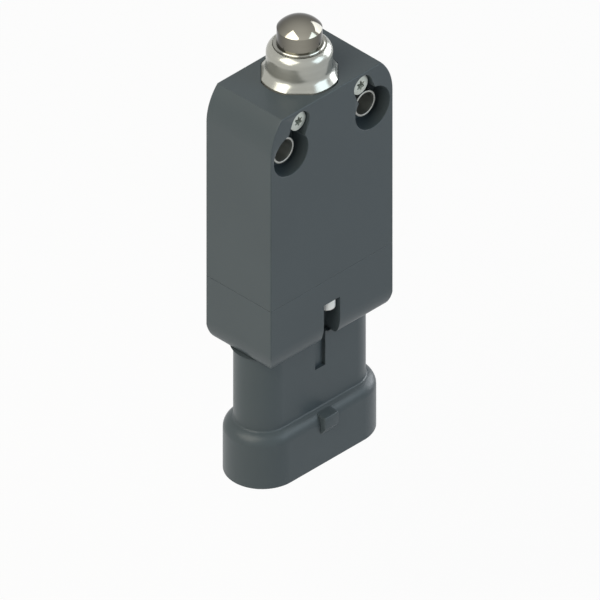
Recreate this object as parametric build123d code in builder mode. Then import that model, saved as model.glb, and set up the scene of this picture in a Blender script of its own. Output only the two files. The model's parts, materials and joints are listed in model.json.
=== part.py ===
from build123d import *
import math
import os

# Plunger limit switch: a moulded housing with a cover that ends in a sealed four-way connector, and a
# steel plunger that slides in a metal collar and works a double-break contact block.
# Millimetres. X is the width, -Y the front with the screw heads, +Y the mounting face and +Z the
# plunger's side. The origin is the centre of the connector's open rim.

os.makedirs("parts", exist_ok=True)

# Fits
slip_fit = 0.03
running_fit = 0.06
assembly_gap = 0.2

# Housing and cover, outside
body_width = 30.0
body_depth = 16.0
housing_height = 39.5
cover_height = 13.2
edge_radius = 0.25
seam_chamfer = 0.06
top_corner_radius = 10.0
top_corner_height = 6.9
foot_inset = 1.5
foot_height = 4.0

# Housing, inside
housing_wall = 1.8
cavity_corner = 1.0
core_wall = 1.55
core_roof = 1.7

# Connector
pin_pitch = 6.0
pin_count = 4
end_margin = 0.1
skirt_radius = 6.9
skirt_height = 8.6
shoulder_height = 2.6
shoulder_fillet = 0.4
neck_radius = 5.1
neck_height = 15.3
neck_fillet = 0.6
skirt_wall = 1.4
neck_wall = 1.4
mating_depth = 9.0
socket_depth = 21.0
web_thickness = 3.0
rim_radius = 0.12
lock_width = 3.3
lock_height = 3.25
lock_slope = 0.3
lock_reach = 0.4
lock_base_z = 7.1

# Pins
pin_width = 1.5
pin_thickness = 0.8
pin_tip_z = 9.0
pin_tip_length = 1.2
pin_taper = 12
pin_tail_length = 2.0
pin_shoulder_width = 2.4
pin_shoulder_height = 0.6

# Cover, inside
floor_thickness = 1.5
spigot_wall = 1.0
spigot_height = 3.0
spigot_gap = 0.1
snap_reach = 0.35
snap_height = 0.8
snap_length = 6.0
gasket_width = 0.8
gasket_height = 1.0
post_width = 2.0
post_depth = 1.3
post_inset = 1.1

# Notch with the light guide in the cover's front
notch_width = 4.0
notch_height = 8.1
notch_wall = 1.2
slot_width = 2.5
slot_depth = 0.7
slot_length = 7.4
guide_x = 0.25
guide_board_gap = 0.55
guide_radius = 1.5
guide_back_gap = 0.55
guide_length = 2.0
guide_stem_radius = 0.9
guide_stem_length = 2.1
guide_round = 0.25
led_width = 2.0
led_height = 1.15
led_gap = 0.15
board_width = 14.0
board_height = 2.3
board_thickness = 0.8
board_block_gap = 0.3
resistor_width = 2.0
resistor_height = 1.25
resistor_thickness = 0.5
resistor_x = 4.5

# Mounting sleeves: 5 mm in from each side, which gives the 20 mm hole spacing of small position switches
mount_inset = 5.0
mount_drop = 8.5
sleeve_radius = 2.55
sleeve_bore_radius = 2.15
sleeve_front_inset = 1.9
sleeve_chamfer = 0.12
recess_radius = 4.2
recess_depth = 4.0

# Cross screws that lock the collar
screw_x = 7.63
screw_drop = 2.8
screw_head_radius = 1.925
screw_head_height = 1.45
screw_head_inset = 0.5
screw_head_dome = 0.35
screw_shank_radius = 1.5
screw_length = 11.0
screw_lobe_circle = 0.62
screw_lobe_radius = 0.2
screw_lobe_count = 6
screw_socket_depth = 0.8
keyhole_width = 4.3
keyhole_rim = 0.12

# Collar
collar_flats = 13.24
collar_flat_angle = 45
collar_foot_radius = 7.05
collar_foot_height = 5.6
collar_foot_proud = 0.25
recess_flat_gap = 0.1
recess_round_gap = 0.25
collar_flare = 1.5
collar_barrel_radius = 5.88
collar_height = 6.36
collar_shoulder_radius = 2.2
collar_shank_radius = 5.6
collar_shank_length = 7.6
mouth_radius = 4.7
mouth_depth = 2.0
scraper_height = 2.1
scraper_lip_width = 0.3
scraper_lip_height = 0.2

# Plunger
plunger_radius = 4.0
plunger_dome_height = 1.95
plunger_reach = 11.65
plunger_edge = 0.15
plunger_travel = 4.5
seal_pocket_radius = 4.9
seal_height = 2.4
seal_groove_width = 0.18
washer_height = 0.9
ring_radius = 5.0
ring_thickness = 0.8
ring_groove_depth = 0.5
ring_opening = 3.0
ring_play = 0.1
plunger_tail = 1.5
rod_radius = 2.0
rod_socket_depth = 4.0
rod_hole_gap = 0.3
rod_chamfer = 0.3

# Return spring
spring_radius = 3.2
spring_wire_radius = 0.35
spring_turns = 4.5
spring_seat_radius = 3.9
spring_seat_depth = 1.0
spring_end_gap = 0.05

# Contact block
plate_thickness = 1.6
plate_gap = 0.3
plug_height = 0.8
block_wall = 1.3
block_floor = 1.2
block_gap = 0.3
cup_radius = 3.0
cup_wall = 0.7
cup_depth = 2.1

# Carriage with its two contact bridges
carriage_width = 5.2
carriage_gap = 0.1
carriage_head = 0.9
carriage_middle = 0.7
carriage_foot = 0.8
upper_window = 3.0
lower_window = 2.5
rod_play = 0.2
plug_play = 0.6
bridge_overhang = 0.9
bridge_width = 3.0
bridge_corner = 0.75
bridge_thickness = 0.5
bridge_lift = 0.8
window_gap = 0.2
button_inset = 1.4
contact_radius = 0.9
contact_height = 0.3
contact_gap = 0.05
contact_spring_radius = 0.95
contact_spring_wire = 0.15
contact_spring_turns = 3
carriage_spring_radius = 1.75
carriage_spring_wire = 0.25
carriage_spring_turns = 6

# Fixed contacts and their leads
strip_thickness = 0.6
strip_width = 2.8
strip_overhang = 1.3
strip_floor_gap = 0.55
leg_wall_gap = 0.2
leg_spacing = 2.0
leg_drop = 1.9
slot_gap = 0.05
lead_radius = 0.45
lead_straight = 1.5
lead_bend = 1.0

# Levels and half sizes that follow from the sizes above
neck_base_z = skirt_height + shoulder_height
cover_base_z = neck_base_z + neck_height
seam_z = cover_base_z + cover_height
top_z = seam_z + housing_height
half_width = body_width / 2
half_depth = body_depth / 2
end_x = pin_pitch * (pin_count - 1) / 2 + end_margin
pin_xs = [pin_pitch * (index - (pin_count - 1) / 2) for index in range(pin_count)]
cavity_width = body_width - 2 * housing_wall
cavity_depth = body_depth - 2 * housing_wall
spigot_width = cavity_width - 2 * spigot_gap
spigot_depth = cavity_depth - 2 * spigot_gap
well_width = spigot_width - 2 * spigot_wall
well_depth = spigot_depth - 2 * spigot_wall
well_floor_z = cover_base_z + floor_thickness
web_top_z = socket_depth + web_thickness
pin_top_z = web_top_z + pin_tail_length

mount_x = half_width - mount_inset
mount_z = top_z - mount_drop
screw_z = top_z - screw_drop
sleeve_front_y = -half_depth + sleeve_front_inset
screw_face_y = -half_depth + screw_head_inset
screw_seat_y = screw_face_y + screw_head_height

collar_foot_z = top_z + collar_foot_proud
collar_base_z = collar_foot_z - collar_foot_height
collar_end_z = collar_base_z - collar_shank_length
collar_top_z = top_z + collar_height
mouth_floor_z = collar_top_z - mouth_depth
plunger_bore_radius = plunger_radius + running_fit
plunger_top_z = top_z + plunger_reach
ring_top_z = collar_end_z - ring_play
plunger_end_z = ring_top_z - ring_thickness - plunger_tail

# the indicator board stands on the notch's wall, the contact block above it, and the parts in the block
# follow upwards from its floor
notch_top_z = cover_base_z + notch_height
board_base_z = notch_top_z + notch_wall
board_front_y = -well_depth / 2 + spigot_gap
pocket_floor_z = notch_top_z + guide_stem_length
guide_y = board_front_y - guide_board_gap - guide_stem_radius
notch_back_y = guide_y + guide_radius + guide_back_gap
slot_back_y = -neck_radius + slot_depth

base_end_z = board_base_z + board_height + board_block_gap
chamber_floor_z = base_end_z + block_floor
leg_end_z = base_end_z - leg_drop
base_width = well_width - 2 * block_gap
base_depth = well_depth - 2 * block_gap
chamber_width = base_width - 2 * block_wall
chamber_depth = base_depth - 2 * block_wall
cup_floor_z = base_end_z - cup_depth + cup_wall

no_contact_z = chamber_floor_z + strip_floor_gap + strip_thickness + contact_height
lower_sill_z = no_contact_z + contact_gap + plunger_travel + contact_height
lower_roof_z = lower_sill_z + lower_window
upper_sill_z = lower_roof_z + carriage_middle
upper_roof_z = upper_sill_z + upper_window
carriage_top_z = upper_roof_z + carriage_head
carriage_end_z = lower_sill_z - carriage_foot
carriage_depth = chamber_depth - 2 * carriage_gap
rod_end_z = carriage_top_z + rod_play
nc_bridge_z = upper_roof_z - bridge_lift - bridge_thickness
nc_contact_z = nc_bridge_z + bridge_thickness + contact_height + contact_gap
base_top_z = carriage_top_z + plug_play + plug_height
block_top_z = base_top_z + plate_thickness

outer_leg_x = chamber_width / 2 - leg_wall_gap - strip_thickness / 2
inner_leg_x = outer_leg_x - leg_spacing
contact_x = inner_leg_x - button_inset
strip_inner_x = contact_x - strip_overhang
bridge_length = 2 * (contact_x + bridge_overhang)


def finish(node, name):
    """Labels a sub-part and writes it under its own name."""
    node.part.label = name
    export_step(node.part, f"parts/{name}.step")


def stem_outline(radius_skirt, radius_neck, z_low, z_turn, z_neck, z_high, flare):
    """Half outline of the connector: skirt wall, rounded shoulder, neck and the flare under the cover."""
    drop = radius_skirt - radius_neck
    rise = z_neck - z_turn
    turn_angle = 2 * math.atan2(drop, rise)
    big_radius = rise / math.sin(turn_angle) - shoulder_fillet
    turn_degrees = math.degrees(turn_angle)
    with BuildLine() as outline:
        CenterArc((radius_skirt - big_radius, z_turn), big_radius, 0, turn_degrees)
        neck_arc = CenterArc((radius_neck + shoulder_fillet, z_neck), shoulder_fillet, 180, turn_degrees)
        flare_arc = CenterArc((radius_neck + flare, z_high - flare), flare, 90, 90)
        Line(neck_arc @ 0, flare_arc @ 1)
        Polyline(flare_arc @ 0, (0, z_high), (0, z_low), (radius_skirt, z_low), (radius_skirt, z_turn))
    return outline.edges()


# Housing: front outline carried through the depth, then the inner spaces are cut
with BuildPart() as housing:
    arc_z = top_z - top_corner_height
    corner_angle = math.degrees(math.asin(top_corner_height / top_corner_radius))
    with BuildSketch(Plane.XZ):
        with BuildLine():
            Polyline((-half_width, arc_z), (-half_width, seam_z), (half_width, seam_z), (half_width, arc_z))
            right_arc = CenterArc((half_width - top_corner_radius, arc_z), top_corner_radius, 0, corner_angle)
            left_arc = CenterArc(
                (top_corner_radius - half_width, arc_z), top_corner_radius, 180 - corner_angle, corner_angle
            )
            Line(right_arc @ 1, left_arc @ 0)
        make_face()
    extrude(amount=half_depth, both=True)
    front_and_back = housing.edges().group_by(Axis.Y)[0] + housing.edges().group_by(Axis.Y)[-1]
    fillet(front_and_back.filter_by(lambda edge: edge.center().Z > seam_z + edge_radius), edge_radius)
    chamfer(housing.faces().sort_by(Axis.Z)[0].edges(), seam_chamfer)
    # contact block's space, with the rebate that takes the gasket
    with BuildSketch(Plane.XY.offset(seam_z)):
        RectangleRounded(cavity_width, cavity_depth, cavity_corner)
    extrude(amount=block_top_z - seam_z, mode=Mode.SUBTRACT)
    with BuildSketch(Plane.XY.offset(seam_z)):
        RectangleRounded(
            cavity_width + 2 * gasket_width, cavity_depth + 2 * gasket_width, cavity_corner + gasket_width
        )
    extrude(amount=gasket_height, mode=Mode.SUBTRACT)
    # pockets for the cover's snap ridges
    with BuildSketch(Plane.XY.offset(seam_z + spigot_height - snap_height - assembly_gap)):
        Rectangle(cavity_width + 2 * snap_reach + 2 * slip_fit, snap_length + 2 * assembly_gap)
    extrude(amount=snap_height + assembly_gap, mode=Mode.SUBTRACT)
    # cored pockets beside the plunger's bore
    core_inner_x = collar_shank_radius + core_wall
    core_width = cavity_width / 2 - core_inner_x
    core_top_z = mount_z - recess_radius - core_roof
    with BuildSketch(Plane.XY.offset(block_top_z)):
        with Locations((-core_inner_x - core_width / 2, 0), (core_inner_x + core_width / 2, 0)):
            Rectangle(core_width, cavity_depth)
    extrude(amount=core_top_z - block_top_z, mode=Mode.SUBTRACT)
    # bore for the collar's shank and the plunger's tail
    with BuildSketch(Plane.XY.offset(block_top_z)):
        Circle(collar_shank_radius + slip_fit)
    extrude(amount=top_z - block_top_z, mode=Mode.SUBTRACT)
    with BuildSketch(Plane.XY.offset(collar_base_z)):
        Circle(collar_foot_radius + recess_round_gap)
        recess_flats = collar_flats + 2 * recess_flat_gap
        Rectangle(recess_flats, recess_flats, rotation=collar_flat_angle, mode=Mode.INTERSECT)
    extrude(amount=top_z - collar_base_z, mode=Mode.SUBTRACT)
    # keyhole recesses in the front: a deep one round each sleeve, a seat for each screw head
    channel_length = math.hypot(mount_x - screw_x, mount_z - screw_z)
    channel_angle = math.degrees(math.atan2(screw_z - mount_z, screw_x - mount_x))
    for side in (-1, 1):
        with BuildSketch(Plane.XZ.offset(half_depth)):
            with Locations((side * mount_x, mount_z)):
                Circle(recess_radius)
            with Locations((side * (mount_x + screw_x) / 2, (mount_z + screw_z) / 2)):
                SlotCenterToCenter(channel_length, keyhole_width, rotation=side * channel_angle)
            with Locations((side * screw_x, screw_z)):
                Circle(keyhole_width / 2, mode=Mode.SUBTRACT)
        extrude(amount=-recess_depth, mode=Mode.SUBTRACT)
    with BuildSketch(Plane.XZ.offset(half_depth)):
        with Locations((-screw_x, screw_z), (screw_x, screw_z)):
            Circle(keyhole_width / 2)
    extrude(amount=-(screw_seat_y + half_depth), mode=Mode.SUBTRACT)
    fillet(housing.faces().sort_by(Axis.Y)[0].inner_wires().edges(), keyhole_rim)
    with BuildSketch(Plane.XZ.offset(half_depth)):
        with Locations((-screw_x, screw_z), (screw_x, screw_z)):
            Circle(screw_shank_radius + slip_fit)
    extrude(amount=-(screw_seat_y + half_depth + screw_length + assembly_gap), mode=Mode.SUBTRACT)
    with BuildSketch(Plane.XZ.offset(half_depth)):
        with Locations((-mount_x, mount_z), (mount_x, mount_z)):
            Circle(sleeve_radius + slip_fit)
    extrude(amount=-body_depth, mode=Mode.SUBTRACT)
finish(housing, "housing")

# Cover: block under the housing with rounded foot, then the neck and the connector's skirt
stem_edges = stem_outline(skirt_radius, neck_radius, 0, skirt_height, neck_base_z, cover_base_z, neck_fillet)
with BuildPart() as connector_cover:
    foot_z = cover_base_z + foot_height
    for plane, span, run in ((Plane.XZ, half_width, half_depth), (Plane.YZ, half_depth, half_width)):
        with BuildSketch(plane):
            with BuildLine():
                foot_x = span - foot_inset
                right_foot = EllipticalCenterArc((foot_x, foot_z), foot_inset, foot_height, -90, arc_size=90)
                left_foot = EllipticalCenterArc((-foot_x, foot_z), foot_inset, foot_height, 180, arc_size=90)
                Polyline(right_foot @ 1, (span, seam_z), (-span, seam_z), left_foot @ 0)
                Line(left_foot @ 1, right_foot @ 0)
            make_face()
        extrude(amount=run, both=True, mode=Mode.ADD if plane == Plane.XZ else Mode.INTERSECT)
    with BuildSketch(Plane.XY.offset(cover_base_z)):
        RectangleRounded(body_width, body_depth, edge_radius)
    extrude(amount=cover_height, mode=Mode.INTERSECT)
    chamfer(connector_cover.faces().sort_by(Axis.Z)[-1].edges(), seam_chamfer)
    # neck and skirt: the same half outline runs straight between the end centres and turns round them
    with BuildSketch(Plane.YZ):
        make_face(stem_edges)
        mirror(about=Plane.YZ)
    extrude(amount=end_x, both=True)
    for side in (-1, 1):
        with BuildSketch(Plane.XZ.move(Location((side * end_x, 0, 0)))):
            make_face(stem_edges)
        revolve(axis=Axis((side * end_x, 0, 0), (0, 0, 1)), revolution_arc=360)
    # lock for the mating plug: it grows out of the shoulder, and its upper side slopes up to it
    lock_front_y = -skirt_radius - lock_reach
    with BuildSketch(Plane.YZ):
        with BuildLine():
            Polyline(
                (-neck_radius, lock_base_z),
                (lock_front_y, lock_base_z),
                (lock_front_y, lock_base_z + lock_height),
                (-neck_radius, lock_base_z + lock_height + lock_slope),
                close=True,
            )
        make_face()
    extrude(amount=lock_width / 2, both=True)
    # spigot that enters the housing, with its snap ridges
    with BuildSketch(Plane.XY.offset(seam_z)):
        RectangleRounded(spigot_width, spigot_depth, cavity_corner)
    extrude(amount=spigot_height)
    with BuildSketch(Plane.XY.offset(seam_z + spigot_height - snap_height)):
        Rectangle(spigot_width + 2 * snap_reach, snap_length)
    extrude(amount=snap_height - assembly_gap)
    # well for the leads
    with BuildSketch(Plane.XY.offset(well_floor_z)):
        Rectangle(well_width, well_depth)
    extrude(amount=seam_z + spigot_height - well_floor_z, mode=Mode.SUBTRACT)
    # posts that carry the contact block
    with BuildSketch(Plane.XY.offset(well_floor_z)):
        with GridLocations(well_width - 2 * post_inset - post_width, well_depth - post_depth, 2, 2):
            Rectangle(post_width, post_depth)
    extrude(amount=base_end_z - well_floor_z)
    # walls round the notch
    with BuildSketch(Plane.XY.offset(well_floor_z)):
        with Locations((0, (notch_back_y + notch_wall - well_depth / 2) / 2)):
            Rectangle(notch_width + 2 * notch_wall, notch_back_y + notch_wall + well_depth / 2)
    extrude(amount=board_base_z - well_floor_z)
    # way down through the neck to the web, and the socket below it
    with BuildSketch(Plane.XY.offset(web_top_z)):
        SlotCenterToCenter(2 * end_x, 2 * (neck_radius - neck_wall))
    extrude(amount=well_floor_z - web_top_z, mode=Mode.SUBTRACT)
    with BuildSketch(Plane.XY):
        SlotCenterToCenter(2 * end_x, 2 * (neck_radius - neck_wall))
    extrude(amount=socket_depth, mode=Mode.SUBTRACT)
    with BuildSketch(Plane.XY):
        SlotCenterToCenter(2 * end_x, 2 * (skirt_radius - skirt_wall))
    extrude(amount=mating_depth, mode=Mode.SUBTRACT)
    fillet(connector_cover.faces().sort_by(Axis.Z)[0].edges(), rim_radius)
    # pin slots in the web
    with BuildSketch(Plane.XY.offset(socket_depth)):
        with Locations([(x, 0) for x in pin_xs]):
            Rectangle(pin_width + 2 * slip_fit, pin_thickness + 2 * slip_fit)
    extrude(amount=web_thickness, mode=Mode.SUBTRACT)
    # notch and the slot that runs on down the neck
    with BuildSketch(Plane.XZ.offset(half_depth)):
        with Locations((0, (cover_base_z + notch_top_z) / 2)):
            Rectangle(notch_width, notch_height)
    extrude(amount=-(notch_back_y + half_depth), mode=Mode.SUBTRACT)
    with BuildSketch(Plane.XZ.offset(half_depth)):
        with Locations((0, cover_base_z - slot_length / 2)):
            Rectangle(slot_width, slot_length)
    extrude(amount=-(slot_back_y + half_depth), mode=Mode.SUBTRACT)
    # bore of the light guide's stem and the lamp's pocket above it
    with BuildSketch(Plane.XY.offset(notch_top_z)):
        with Locations((guide_x, guide_y)):
            Circle(guide_stem_radius + slip_fit)
    extrude(amount=guide_stem_length, mode=Mode.SUBTRACT)
    pocket_front_y = guide_y - guide_stem_radius
    with BuildSketch(Plane.XY.offset(pocket_floor_z)):
        with Locations((guide_x, (pocket_front_y - well_depth / 2) / 2)):
            Rectangle(led_width + 2 * led_gap, -well_depth / 2 - pocket_front_y)
    extrude(amount=led_height + 2 * led_gap, mode=Mode.SUBTRACT)
finish(connector_cover, "connector_cover")

with BuildPart() as cover_gasket:
    with BuildSketch(Plane.XY.offset(seam_z)):
        RectangleRounded(
            cavity_width + 2 * (gasket_width - slip_fit),
            cavity_depth + 2 * (gasket_width - slip_fit),
            cavity_corner + gasket_width - slip_fit,
        )
        RectangleRounded(
            spigot_width + 2 * slip_fit, spigot_depth + 2 * slip_fit, cavity_corner, mode=Mode.SUBTRACT
        )
    extrude(amount=gasket_height)
finish(cover_gasket, "cover_gasket")

# Collar: turned profile that flares onto a foot with four flats, and the screws' grooves in the foot
with BuildPart() as plunger_collar:
    shoulder_x = collar_barrel_radius - collar_shoulder_radius
    lip_rise = math.sqrt(collar_shoulder_radius**2 - (mouth_radius - shoulder_x) ** 2)
    shoulder_z = collar_top_z - lip_rise
    lip_angle = math.degrees(math.atan2(lip_rise, mouth_radius - shoulder_x))
    flare_reach = collar_foot_radius - collar_barrel_radius
    flare_rise = math.sqrt(collar_flare**2 - (collar_flare - flare_reach) ** 2)
    flare_angle = math.degrees(math.asin(flare_rise / collar_flare))
    with BuildSketch(Plane.XZ):
        with BuildLine():
            shoulder = CenterArc((shoulder_x, shoulder_z), collar_shoulder_radius, 0, lip_angle)
            flare_x = collar_barrel_radius + collar_flare
            flare = CenterArc((flare_x, collar_foot_z + flare_rise), collar_flare, 180, flare_angle)
            Line(shoulder @ 0, flare @ 0)
            Polyline(
                flare @ 1,
                (collar_foot_radius, collar_base_z),
                (collar_shank_radius, collar_base_z),
                (collar_shank_radius, collar_end_z),
                (seal_pocket_radius, collar_end_z),
                (seal_pocket_radius, collar_end_z + washer_height + seal_height),
                (plunger_bore_radius, collar_end_z + washer_height + seal_height),
                (plunger_bore_radius, mouth_floor_z),
                (mouth_radius, mouth_floor_z),
                shoulder @ 1,
            )
        make_face()
    revolve(axis=Axis.Z)
    with BuildSketch(Plane.XY.offset(collar_end_z)):
        Rectangle(collar_flats, collar_flats, rotation=collar_flat_angle)
    extrude(amount=collar_top_z - collar_end_z, mode=Mode.INTERSECT)
    with BuildSketch(Plane.XZ):
        with Locations((-screw_x, screw_z), (screw_x, screw_z)):
            Circle(screw_shank_radius + slip_fit)
    extrude(amount=half_depth, both=True, mode=Mode.SUBTRACT)
finish(plunger_collar, "plunger_collar")

with BuildPart() as scraper_ring:
    scraper_inner = plunger_bore_radius
    with BuildSketch(Plane.XZ):
        with BuildLine():
            Polyline(
                (scraper_inner, mouth_floor_z),
                (mouth_radius - slip_fit, mouth_floor_z),
                (mouth_radius - slip_fit, mouth_floor_z + scraper_height),
                (scraper_inner + scraper_lip_width, mouth_floor_z + scraper_height),
                (scraper_inner, mouth_floor_z + scraper_height + scraper_lip_height),
                close=True,
            )
        make_face()
    revolve(axis=Axis.Z)
finish(scraper_ring, "scraper_ring")

# Seal under the collar: a cup with a groove on its lower side, and the washer that holds it in
with BuildPart() as rod_seal:
    seal_base_z = collar_end_z + washer_height
    seal_middle = (plunger_bore_radius + seal_pocket_radius) / 2
    with BuildSketch(Plane.XZ):
        with Locations((seal_middle, seal_base_z + seal_height / 2)):
            Rectangle(seal_pocket_radius - plunger_bore_radius - 2 * slip_fit, seal_height)
        with Locations((seal_middle, seal_base_z)):
            Rectangle(seal_groove_width, seal_height, mode=Mode.SUBTRACT)
    revolve(axis=Axis.Z)
finish(rod_seal, "rod_seal")

with BuildPart() as seal_washer:
    with BuildSketch(Plane.XY.offset(collar_end_z)):
        Circle(seal_pocket_radius - slip_fit)
        Circle(plunger_radius + rod_hole_gap, mode=Mode.SUBTRACT)
    extrude(amount=washer_height)
finish(seal_washer, "seal_washer")

# Metal sleeves that take the mounting screws' clamping force
for side, side_name in ((-1, "left"), (1, "right")):
    with BuildPart() as mounting_sleeve:
        with BuildSketch(Plane.XZ.offset(-half_depth)):
            with Locations((side * mount_x, mount_z)):
                Circle(sleeve_radius)
                Circle(sleeve_bore_radius, mode=Mode.SUBTRACT)
        extrude(amount=half_depth - sleeve_front_y)
        front_edges = mounting_sleeve.faces().sort_by(Axis.Y)[0].edges()
        chamfer(front_edges.sort_by(SortBy.RADIUS)[-1], sleeve_chamfer)
    finish(mounting_sleeve, f"mounting_sleeve_{side_name}")

# Cross screws: domed round head with a six-lobe socket, plain shank that lies in the collar's groove
for side, side_name in ((-1, "left"), (1, "right")):
    with BuildPart() as cross_screw:
        head_axis = Plane(origin=(side * screw_x, screw_seat_y, screw_z), x_dir=(1, 0, 0), z_dir=(0, -1, 0))
        dome_radius = (screw_head_radius**2 + screw_head_dome**2) / (2 * screw_head_dome)
        with BuildSketch(Plane(origin=head_axis.origin, x_dir=(1, 0, 0), z_dir=(0, 0, 1))):
            with BuildLine():
                rim = Line((screw_head_radius, 0), (screw_head_radius, screw_head_dome - screw_head_height))
                crown = RadiusArc(rim @ 1, (0, -screw_head_height), dome_radius)
                Polyline(
                    crown @ 1,
                    (0, screw_length),
                    (screw_shank_radius, screw_length),
                    (screw_shank_radius, 0),
                    rim @ 0,
                )
            make_face()
        revolve(axis=Axis((side * screw_x, 0, screw_z), (0, 1, 0)))
        with BuildSketch(head_axis.offset(screw_head_height)):
            Circle(screw_lobe_circle)
            with PolarLocations(screw_lobe_circle, screw_lobe_count):
                Circle(screw_lobe_radius)
        extrude(amount=-screw_socket_depth, mode=Mode.SUBTRACT)
    finish(cross_screw, f"cross_screw_{side_name}")

# Plunger: domed steel pin with a groove for its retaining ring and a socket for the push rod
with BuildPart() as plunger:
    dome_base_z = plunger_top_z - plunger_dome_height
    dome_radius = (plunger_radius**2 + plunger_dome_height**2) / (2 * plunger_dome_height)
    with BuildSketch(Plane.XZ):
        with BuildLine():
            dome = RadiusArc((0, plunger_top_z), (plunger_radius, dome_base_z), dome_radius)
            Polyline(
                dome @ 1,
                (plunger_radius, ring_top_z),
                (plunger_radius - ring_groove_depth, ring_top_z),
                (plunger_radius - ring_groove_depth, ring_top_z - ring_thickness),
                (plunger_radius, ring_top_z - ring_thickness),
                (plunger_radius, plunger_end_z),
                (rod_radius, plunger_end_z),
                (rod_radius, plunger_end_z + rod_socket_depth),
                (0, plunger_end_z + rod_socket_depth),
                dome @ 0,
            )
        make_face()
    revolve(axis=Axis.Z)
    fillet(plunger.edges().filter_by(lambda edge: edge.is_closed).sort_by(Axis.Z)[-1], plunger_edge)
finish(plunger, "plunger")

with BuildPart() as push_rod:
    with BuildSketch(Plane.XY.offset(rod_end_z)):
        Circle(rod_radius - slip_fit)
    extrude(amount=plunger_end_z + rod_socket_depth - rod_end_z)
    chamfer(push_rod.edges().sort_by(Axis.Z)[0], rod_chamfer)
finish(push_rod, "push_rod")

# Open retaining ring, snapped into the plunger's groove from the side
with BuildPart() as retaining_ring:
    with BuildSketch(Plane.XY.offset(ring_top_z - ring_thickness)):
        Circle(ring_radius)
        Circle(plunger_radius - ring_groove_depth + slip_fit, mode=Mode.SUBTRACT)
        with Locations((0, ring_radius)):
            Rectangle(ring_opening, 2 * ring_radius, mode=Mode.SUBTRACT)
    extrude(amount=ring_thickness)
finish(retaining_ring, "retaining_ring")


def coil_spring(name, centre_x, z_low, z_high, radius, wire_radius, turns):
    """Round-wire compression spring that stands between two seats on a vertical axis."""
    low = z_low + wire_radius + spring_end_gap
    height = z_high - z_low - 2 * (wire_radius + spring_end_gap)
    with BuildPart() as spring:
        with BuildLine(Plane.XY.move(Location((centre_x, 0, low)))) as coil:
            Helix(pitch=height / turns, height=height, radius=radius)
        with BuildSketch(Plane(origin=coil.line @ 0, x_dir=(1, 0, 0), z_dir=coil.line % 0)):
            Circle(wire_radius)
        sweep(path=coil.line, is_frenet=True)
    finish(spring, name)


coil_spring(
    "return_spring",
    0,
    block_top_z - spring_seat_depth,
    plunger_end_z,
    spring_radius,
    spring_wire_radius,
    spring_turns,
)

# Contact block: plate with the spring seat on top, open box below it
with BuildPart() as block_plate:
    with BuildSketch(Plane.XY.offset(base_top_z)):
        RectangleRounded(cavity_width - 2 * plate_gap, cavity_depth - 2 * plate_gap, cavity_corner)
    extrude(amount=plate_thickness)
    with BuildSketch(Plane.XY.offset(base_top_z - plug_height)):
        Rectangle(chamber_width - 2 * slip_fit, chamber_depth - 2 * slip_fit)
    extrude(amount=plug_height)
    with BuildSketch(Plane.XY.offset(block_top_z)):
        Circle(spring_seat_radius)
    extrude(amount=-spring_seat_depth, mode=Mode.SUBTRACT)
    with BuildSketch(Plane.XY.offset(block_top_z)):
        Circle(rod_radius + rod_hole_gap)
    extrude(amount=-(plate_thickness + plug_height), mode=Mode.SUBTRACT)
finish(block_plate, "block_plate")

with BuildPart() as block_base:
    with BuildSketch(Plane.XY.offset(base_end_z)):
        Rectangle(base_width, base_depth)
    extrude(amount=base_top_z - base_end_z)
    with BuildSketch(Plane.XY.offset(chamber_floor_z)):
        Rectangle(chamber_width, chamber_depth)
    extrude(amount=base_top_z - chamber_floor_z, mode=Mode.SUBTRACT)
    # cup that holds the carriage spring
    with BuildSketch(Plane.XY.offset(base_end_z)):
        Circle(cup_radius)
    extrude(amount=-cup_depth)
    with BuildSketch(Plane.XY.offset(cup_floor_z)):
        Circle(cup_radius - cup_wall)
    extrude(amount=chamber_floor_z - cup_floor_z, mode=Mode.SUBTRACT)
    # slots for the contacts' legs
    with BuildSketch(Plane.XY.offset(base_end_z)):
        with Locations(*[(side * x, 0) for side in (-1, 1) for x in (outer_leg_x, inner_leg_x)]):
            Rectangle(strip_thickness + 2 * slot_gap, strip_width + 2 * slot_gap)
    extrude(amount=block_floor, mode=Mode.SUBTRACT)
finish(block_base, "block_base")

# Fixed contacts: an arm inside the chamber with a contact button, a leg out through the floor
for side, side_name in ((-1, "left"), (1, "right")):
    for kind, leg_x, arm_z, button_z, button_run in (
        ("nc", outer_leg_x, nc_contact_z + contact_height, nc_contact_z, contact_height),
        ("no", inner_leg_x, no_contact_z - contact_height - strip_thickness, no_contact_z, -contact_height),
    ):
        leg_outer_x = leg_x + strip_thickness / 2
        with BuildPart() as fixed_contact:
            with BuildSketch(Plane.XZ):
                with BuildLine():
                    Polyline(
                        (side * strip_inner_x, arm_z),
                        (side * (leg_outer_x - strip_thickness), arm_z),
                        (side * (leg_outer_x - strip_thickness), leg_end_z),
                        (side * leg_outer_x, leg_end_z),
                        (side * leg_outer_x, arm_z + strip_thickness),
                        (side * strip_inner_x, arm_z + strip_thickness),
                        close=True,
                    )
                make_face()
            extrude(amount=strip_width / 2, both=True)
            with BuildSketch(Plane.XY.offset(button_z)):
                with Locations((side * contact_x, 0)):
                    Circle(contact_radius)
            extrude(amount=button_run)
        finish(fixed_contact, f"{kind}_contact_{side_name}")

# Carriage: block with two windows for the bridges
with BuildPart() as contact_carriage:
    with BuildSketch(Plane.XY.offset(carriage_end_z)):
        Rectangle(carriage_width, carriage_depth)
    extrude(amount=carriage_top_z - carriage_end_z)
    for sill_z, roof_z in ((upper_sill_z, upper_roof_z), (lower_sill_z, lower_roof_z)):
        with BuildSketch(Plane.YZ):
            with Locations((0, (sill_z + roof_z) / 2)):
                Rectangle(bridge_width + 2 * window_gap, roof_z - sill_z)
        extrude(amount=carriage_width / 2, both=True, mode=Mode.SUBTRACT)
finish(contact_carriage, "contact_carriage")

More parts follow.
